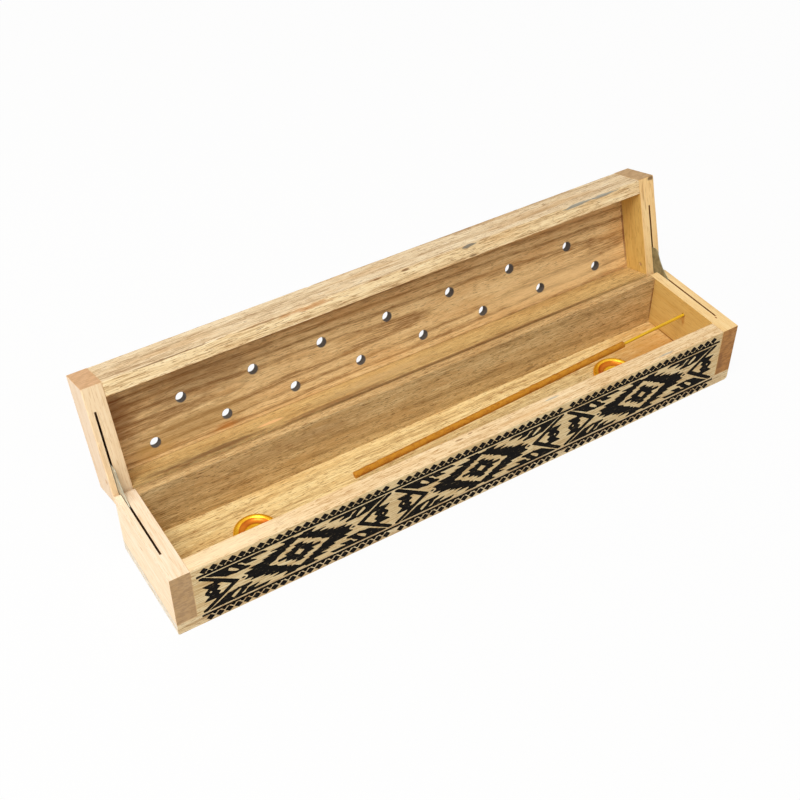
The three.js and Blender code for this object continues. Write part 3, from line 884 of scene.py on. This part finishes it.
def bandShapes():
    # every inked shape, as its outline and its holes, in millimetres along the board and up
    unit, middle, pitch = band["unit"], band["middle"], band["diamondPitch"]
    speckAt, *speck = band["speck"]
    dotAt, *dot = band["chevronDot"]
    most = band["diamondsAside"]
    shapes = []
    for repeat in (-1, 0, 1):
        local = [
            [inQuarters(band["eye"]), inQuarters(band["eyeHole"])],
            [inQuarters(band["ringOut"]), inQuarters(band["ringIn"])],
        ]
        for wide in (-1, 1):
            local.append([lozenge(wide * speckAt, 0, *speck)])
            local.append([flipped(inHalves(band["chevron"]), wide, 1),
                          flipped(inHalves(band["chevronHole"]), wide, 1),
                          lozenge(wide * dotAt, 0, *dot)])
            for high in (-1, 1):
                local.append([flipped(band["wedge"], wide, high), flipped(band["wedgeHole"], wide, high)])
        for loops in local:
            shapes.append([[(w + repeat * unit, h + middle) for w, h in loop] for loop in loops])
        for step in range(-most, most + 1):
            across = repeat * unit + step * pitch
            for large, small in band["rows"]:
                shapes.append([lozenge(across, large, *band["diamond"])])
                if step < most:
                    shapes.append([lozenge(across + pitch / 2, small, *band["smallDiamond"])])
    return shapes


def addRim(work, outline):
    # a narrow strip along a closed outline, where the ink ran past the printed edge
    rails = []
    spread, face = band["spread"], band["face"] * mm
    for index, (across, up) in enumerate(outline):
        before, after = outline[index - 1], outline[(index + 1) % len(outline)]
        run, rise = after[0] - before[0], after[1] - before[1]
        size = math.hypot(run, rise) or 1
        rails.append([work.verts.new(((across + side * rise / size) * mm, face,
                                      (up - side * run / size) * mm)) for side in (spread, -spread)])
    for index, pair in enumerate(rails):
        last = rails[index - 1]
        work.faces.new((last[0], pair[0], pair[1], last[1]))


def ragged(loop, chance):
    # the outline in short steps, a little uneven, as ink is on wood
    points = []
    length = sum(math.dist(point, loop[index - 1]) for index, point in enumerate(loop))
    amount = band["rag"] * min(1.0, length / band["calmBelow"])
    for index, start in enumerate(loop):
        end = loop[(index + 1) % len(loop)]
        count = max(1, round(math.dist(start, end) / band["step"]))
        for cut in range(count):
            part = cut / count
            along = chance.uniform(-amount, amount) * band["ragAlong"]
            points.append((start[0] + (end[0] - start[0]) * part + along,
                           start[1] + (end[1] - start[1]) * part + chance.uniform(-amount, amount)))
    return points


def addLine(work, height, width, chance):
    # a ruled line along the board, as a strip of short quads
    left, right = band["lineEnds"]
    count = round((right - left) / band["step"])
    before = None
    for index in range(count + 1):
        across = left + (right - left) * index / count
        low = height - width / 2 + chance.uniform(-1, 1) * band["rag"]
        high = height + width / 2 + chance.uniform(-1, 1) * band["rag"]
        pair = [work.verts.new((across * mm, band["face"] * mm, z * mm)) for z in (low, high)]
        if before:
            work.faces.new((before[0], pair[0], pair[1], before[1]))
        before = pair


def makeBand():
    chance = random.Random(41)
    work = bmesh.new()
    for height, width in band["lines"]:
        addLine(work, height, width, chance)
    for loops in bandShapes():
        edges = []
        for loop in loops:
            outline = ragged(loop, chance)
            verts = [work.verts.new((x * mm, band["face"] * mm, z * mm)) for x, z in outline]
            edges += [work.edges.new((vert, verts[index - 1])) for index, vert in enumerate(verts)]
            addRim(work, outline)
        bmesh.ops.triangle_fill(work, use_beauty=True, use_dissolve=False, edges=edges, normal=(0, -1, 0))
    pushed = bmesh.ops.extrude_face_region(work, geom=work.faces[:])
    moved = [item for item in pushed["geom"] if isinstance(item, bmesh.types.BMVert)]
    bmesh.ops.translate(work, vec=(0, band["depth"] * mm, 0), verts=moved)
    bmesh.ops.recalc_face_normals(work, faces=work.faces)
    material, tree, shader = startMaterial("printedInk")
    low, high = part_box("tray_front")
    order = list(boards).index("tray_front") + 1
    colour, figure, spot = woodColour(tree, "tray_front", boards["tray_front"], low, high, order)
    flecks = grains(tree, spot, ink["flecks"], rough=0.6)
    worn = times(tree, span(tree, flecks, *ink["wornFrom"]), ink["worn"])
    sooty = blendColour(tree, span(tree, flecks, 0.3, 0.6), ink["black"], ink["grey"])
    rough = span(tree, flecks, 0.3, 0.7, *ink["roughness"])
    dressShader(tree, shader, blendColour(tree, worn, sooty, colour), rough, figure["Height"],
                woodFinish["grainDepth"], specular=ink["specular"])
    finishPiece("printed_band", work, material, "tray", smooth=False)
    print("band printed")


# Incense stick

stick = {
    "mouth": (143.2, 0, 26.3),  # where the core enters the end board
    "tilt": 3.2,
    "seat": 3.9,  # length of core in the board
    "bare": 38.5,  # core showing before the paste starts
    "coatLength": 155.5,
    "coreShort": 1.6,  # how far inside the paste the core ends
    "ringStep": 0.8,
    "sides": 28,
    "lumps": [(0.35, 0.6, 1.0), (1.6, 1.5, 0.5)],  # to a millimetre along, to a radius round, share
    "grainDepth": 0.03,
    "specular": 0.3,
    "coat": {"radius": 1.66, "endRound": 0.3, "lump": 0.015, "middle": rgb(192, 130, 30),
             "dark": rgb(168, 104, 18), "pale": rgb(210, 150, 54), "rough": 0.8, "mottle": (0.3, 0.5, 0.5)},
    "core": {"radius": 0.77, "endRound": 0.12, "lump": 0.02, "middle": rgb(230, 186, 30),
             "dark": rgb(200, 148, 18), "pale": rgb(240, 206, 84), "rough": 0.5, "mottle": (0.05, 2.5, 2.5)},
}


def makeStickMaterial(name, settings):
    material, tree, shader = startMaterial(name)
    spot, _ = objectMillimetres(tree, (0, math.radians(stick["tilt"]), 0))
    mottle = grains(tree, spot, settings["mottle"], detail=4.0, rough=0.6)
    speck = grains(tree, spot, (2.4, 3.4, 3.4), detail=2.0)
    colour = blendColour(tree, span(tree, mottle, 0.36, 0.56), settings["dark"], settings["middle"])
    colour = blendColour(tree, span(tree, speck, 0.5, 0.75), colour, settings["pale"])
    rough = span(tree, speck, 0.3, 0.7, settings["rough"] - 0.08, settings["rough"] + 0.08)
    dressShader(tree, shader, colour, rough, plus(tree, mottle, speck), stick["grainDepth"],
                specular=stick["specular"])
    return material


def rod(name, settings, fromEnd, toEnd, material, node):
    # a rod on the stick's line, from one distance to another out of the mouth, with rounded ends
    radius, endRound, lump = (settings[word] for word in ("radius", "endRound", "lump"))
    work = bmesh.new()
    out = Vector((-math.cos(math.radians(stick["tilt"])), 0, -math.sin(math.radians(stick["tilt"]))))
    side = Vector((0, 1, 0))
    up = out.cross(side)
    count = int((toEnd - fromEnd) / stick["ringStep"])
    stops = [(fromEnd, 1 - endRound), (fromEnd + endRound * 0.35, 1 - endRound * 0.3)]
    stops += [(fromEnd + endRound + (toEnd - fromEnd - 2 * endRound) * index / count, 1)
              for index in range(count + 1)]
    stops += [(toEnd - endRound * 0.35, 1 - endRound * 0.3), (toEnd, 1 - endRound)]
    rings = []
    for distance, share in stops:
        ring = []
        for index in range(stick["sides"]):
            turn = 2 * math.pi * index / stick["sides"]
            wide, high = math.cos(turn), math.sin(turn)
            bulge = sum(part * noise.noise(Vector((distance * often, wide * around, high * around)))
                        for often, around, part in stick["lumps"])
            reach = (radius - lump + lump * bulge) * share
            at = Vector(stick["mouth"]) + out * distance + (side * wide + up * high) * reach
            ring.append(work.verts.new(at * mm))
        rings.append(ring)
    for first, second in zip(rings, rings[1:]):
        edges = []
        for ring in (first, second):
            for index, vert in enumerate(ring):
                pair = (vert, ring[index - 1])
                edges.append(work.edges.get(pair) or work.edges.new(pair))
        bmesh.ops.bridge_loops(work, edges=edges)
    for ring in (rings[0], rings[-1]):
        work.faces.new(ring)
    bmesh.ops.recalc_face_normals(work, faces=work.faces)
    finishPiece(name, work, material, "tray", [node], sharp=60)


def makeStick():
    coat, core = stick["coat"], stick["core"]
    paste = makeStickMaterial("pressedPaste", coat)
    bamboo = makeStickMaterial("dyedBamboo", core)
    start = stick["bare"]
    end = start + stick["coatLength"]
    rod("incense_paste_roll", coat, start, end, paste, "stick_coating")
    rod("bamboo_core_rod", core, -stick["seat"], end - stick["coreShort"], bamboo, "stick_core")
    print("stick made")


# Metal

metals = {
    "brass": {"pale": rgb(255, 202, 50), "dark": rgb(244, 178, 32), "rough": 0.3, "depth": 0.004,
              "cloudSize": 0.12, "metallic": 0.75},
    # a darker copy of the brass, painted shade and painted reflection on the dishes' walls
    "shadedBrass": {"pale": rgb(216, 124, 10), "dark": rgb(198, 102, 6), "rough": 0.35, "depth": 0.004,
                  "cloudSize": 0.12, "metallic": 0.6},
    "zinc": {"pale": rgb(196, 188, 164), "dark": rgb(156, 148, 124), "rough": 0.5, "depth": 0.02,
             "cloudSize": 0.35, "metallic": 0.45},
    # a darker copy of the zinc, painted shade on the right plate
    "shadedZinc": {"pale": rgb(156, 148, 114), "dark": rgb(122, 114, 84), "rough": 0.5, "depth": 0.02,
                 "cloudSize": 0.35, "metallic": 0.45},
    "wire": {"pale": rgb(150, 146, 136), "dark": rgb(92, 88, 80), "rough": 0.4, "depth": 0.01,
             "cloudSize": 0.35, "metallic": 1.0},
    "filledWire": {"pale": rgb(216, 176, 128), "dark": rgb(186, 144, 94), "rough": 0.6, "depth": 0.01,
                   "cloudSize": 0.35, "metallic": 0.2},
}


def makeMetal(name):
    settings = metals[name]
    material, tree, shader = startMaterial(name)
    spot = vectorCalc(tree, "MULTIPLY", addNode(tree, "ShaderNodeTexCoord").outputs["Object"], (1 / mm,) * 3)
    cloud = grains(tree, spot, (settings["cloudSize"],) * 3, detail=4.0)
    fine = grains(tree, spot, (2.5, 2.5, 2.5), detail=3.0)
    colour = blendColour(tree, span(tree, cloud, 0.35, 0.7), settings["pale"], settings["dark"])
    rough = span(tree, fine, 0.3, 0.7, settings["rough"] - 0.05, settings["rough"] + 0.07)
    dressShader(tree, shader, colour, rough, fine, settings["depth"], metallic=settings["metallic"])
    return material


finishes = {name: makeMetal(name) for name in metals}

dish = {
    "ends": 101.0,  # dish centres from the box's middle
    "base": 6.4,
    "steps": 96,
    # radius and height, from the tack's hole round under the dish, over the bead and back
    "outline": [
        (0.76, 0.0), (3.5, 0.0), (4.6, 0.0), (5.4, 0.06), (6.2, 0.3), (7.0, 0.7), (7.6, 1.2), (8.2, 1.7),
        (9.0, 1.95), (9.6, 1.75), (10.0, 1.25), (10.15, 0.85), (10.2, 0.6), (10.4, 0.6), (10.4, 0.95),
        (10.35, 1.35), (10.15, 1.8), (9.85, 2.15), (9.45, 2.38), (9.0, 2.46), (8.5, 2.4), (8.1, 2.2),
        (7.8, 1.96), (7.5, 1.66), (7.1, 1.32), (6.6, 1.08), (6.0, 0.92), (5.5, 0.84), (5.2, 0.86),
        (4.9, 0.9), (4.6, 0.86), (4.2, 0.8), (2.0, 0.8), (0.76, 0.8),
    ],
    "wall": (5.3, 7.65),  # radii between which the dish's wall takes a darker copy of the brass, painted shade and painted reflection of the shaded wood round it
    "wallFacing": 0.3,  # on faces that look up at least this much
    "tack": [(0, -3.75), (0.4, -3.0), (0.45, 0.8), (1.3, 0.8), (1.38, 0.9), (1.3, 1.08), (1.0, 1.25),
             (0.5, 1.37), (0, 1.4)],
}


def spinPiece(name, outline, centre, closed, material, node):
    work = bmesh.new()
    verts = [work.verts.new((radius * mm, 0, height * mm)) for radius, height in outline]
    edges = [work.edges.new(pair) for pair in zip(verts, verts[1:])]
    if closed:
        edges.append(work.edges.new((verts[-1], verts[0])))
    bmesh.ops.spin(work, geom=verts + edges, cent=(0, 0, 0), axis=(0, 0, 1), angle=2 * math.pi,
                   steps=dish["steps"], use_merge=True, use_duplicate=False)
    bmesh.ops.remove_doubles(work, verts=work.verts, dist=0.001 * mm)
    bmesh.ops.recalc_face_normals(work, faces=work.faces)
    inner, outer = dish["wall"]
    for face in work.faces:
        middle = face.calc_center_median()
        reach = math.hypot(middle.x, middle.y) / mm
        face.material_index = int(inner < reach < outer and face.normal.z > dish["wallFacing"])
    bmesh.ops.translate(work, vec=Vector(centre) * mm, verts=work.verts)
    piece = finishPiece(name, work, material, "tray", [node], sharp=60)
    # the dish's wall takes the darker copy of the brass, painted shade and painted reflection
    piece.data.materials.append(finishes["shadedBrass"])


def makeDishes():
    for word, way in (("left", -1), ("right", 1)):
        centre = (way * dish["ends"], 0, dish["base"])
        spinPiece("pressed_dish_" + word, dish["outline"], centre, True, finishes["brass"], "dish_" + word)
        spinPiece("round_tack_" + word, dish["tack"], centre, False, finishes["brass"], "dish_tack_" + word)
    print("dishes made")


plate = {
    "ease": 0.12,  # how far its edges are rounded, in millimetres
    "corner": 60,  # and how sharp an edge has to be for that, in degrees
}


def dressMetal():
    for word in ("left", "right"):
        node = "hinge_plate_" + word
        work = mergedCopy(node)
        sharp = [edge for edge in work.edges
                 if len(edge.link_faces) == 2 and edge.calc_face_angle(0) > math.radians(plate["corner"])]
        bmesh.ops.bevel(work, geom=sharp, offset=plate["ease"] * mm, offset_type="OFFSET", segments=2,
                        profile=0.5, affect="EDGES", material=-1, clamp_overlap=True)
        # the right plate takes a darker copy of the zinc, painted shade
        finish = finishes["zinc" if word == "left" else "shadedZinc"]
        keepFlatsFlat(finishPiece("eased_" + node, work, finish, "lid", [node], sharp=40))
    for node, piece in frame["nodes"].items():
        if node.startswith(("pivot_pin", "lid_pin", "lid_brad")):
            piece.data.materials.clear()
            piece.data.materials.append(finishes["filledWire" if "brad" in node else "wire"])
    print("metal dressed")


# Floor and backdrop

floor = {"half": 3.0, "colour": rgb(222, 220, 216), "glow": 0.95}


def makeFloor():
    work = bmesh.new()
    bmesh.ops.create_grid(work, x_segments=1, y_segments=1, size=floor["half"])
    mesh = bpy.data.meshes.new("floor")
    work.to_mesh(mesh)
    work.free()
    material, tree, shader = startMaterial("paleFloor")
    shader.inputs["Base Color"].default_value = floor["colour"]
    shader.inputs["Roughness"].default_value = 0.9
    shader.inputs["Specular IOR Level"].default_value = 0.1
    light = addNode(tree, "ShaderNodeEmission")
    light.inputs["Strength"].default_value = 1.0
    mix = addNode(tree, "ShaderNodeMixShader")
    tree.links.new(times(tree, directRays(tree), floor["glow"]), mix.inputs[0])
    tree.links.new(shader.outputs[0], mix.inputs[1])
    tree.links.new(light.outputs[0], mix.inputs[2])
    output = next(node for node in tree.nodes if node.type == "OUTPUT_MATERIAL")
    tree.links.new(mix.outputs[0], output.inputs["Surface"])
    mesh.materials.append(material)
    addObject("floor", mesh)


def makeWorld():
    world = bpy.data.worlds.new("studio")
    bpy.context.scene.world = world
    world.use_nodes = True
    tree = world.node_tree
    background = next(node for node in tree.nodes if node.type == "BACKGROUND")
    strength = span(tree, directRays(tree), 0.0, 1.0, worldStrength, 1.0, smooth=False)
    tree.links.new(strength, background.inputs["Strength"])
    background.inputs["Color"].default_value = (1, 1, 1, 1)


bpy.context.scene.view_settings.view_transform = "Standard"
makeCamera()
makeLights()
makeWorld()
makeFloor()
makeBoards()
makeBand()
makeStick()
makeDishes()
dressMetal()
